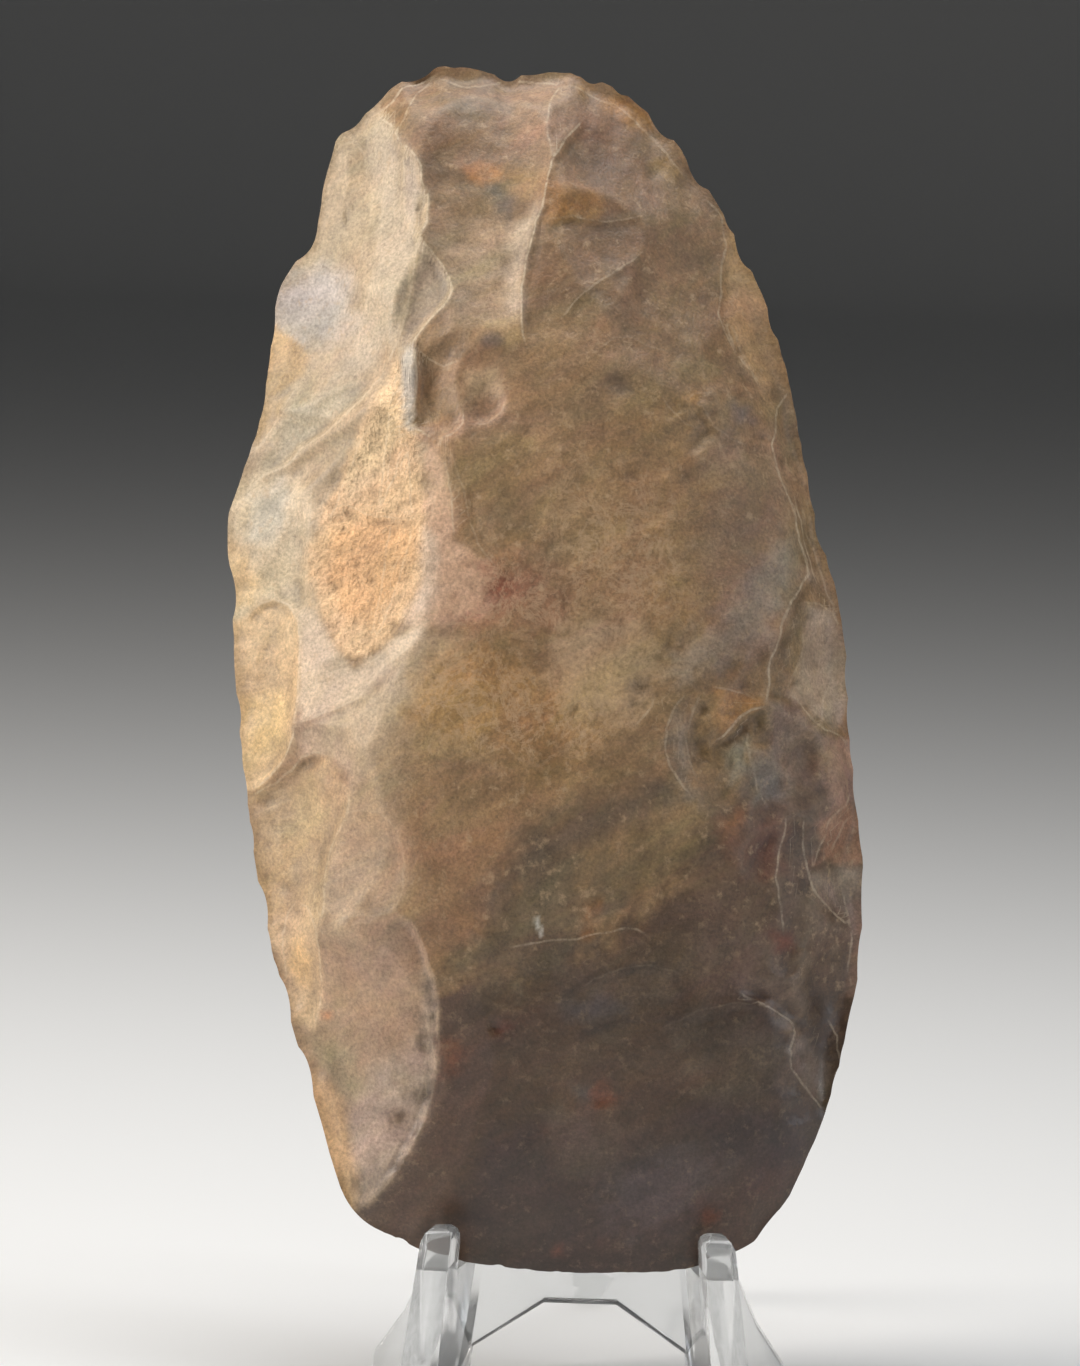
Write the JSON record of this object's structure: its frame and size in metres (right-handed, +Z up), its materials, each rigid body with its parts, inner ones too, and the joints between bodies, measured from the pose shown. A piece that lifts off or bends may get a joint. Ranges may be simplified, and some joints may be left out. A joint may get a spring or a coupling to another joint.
{
  "type": "stone hand axe",
  "caption": "Flaked stone axe head with a rough butt and a broad polished cutting edge, standing in a clear moulded easel.",
  "frame": {"origin": "under the middle of the whole object, on the surface that the easel stands on", "axes": "+Z up, the stone's front face and the easel's prongs toward -Y, +X to the right seen from the front"},
  "size_m": [0.0804, 0.0738, 0.1628],
  "materials": {
    "stone": "flaked, partly polished",
    "clear_plastic": "clear, moulded"
  },
  "bodies": {
    "root": {"axe_head": "stone", "display_easel": "clear_plastic"}
  },
  "joints": []
}
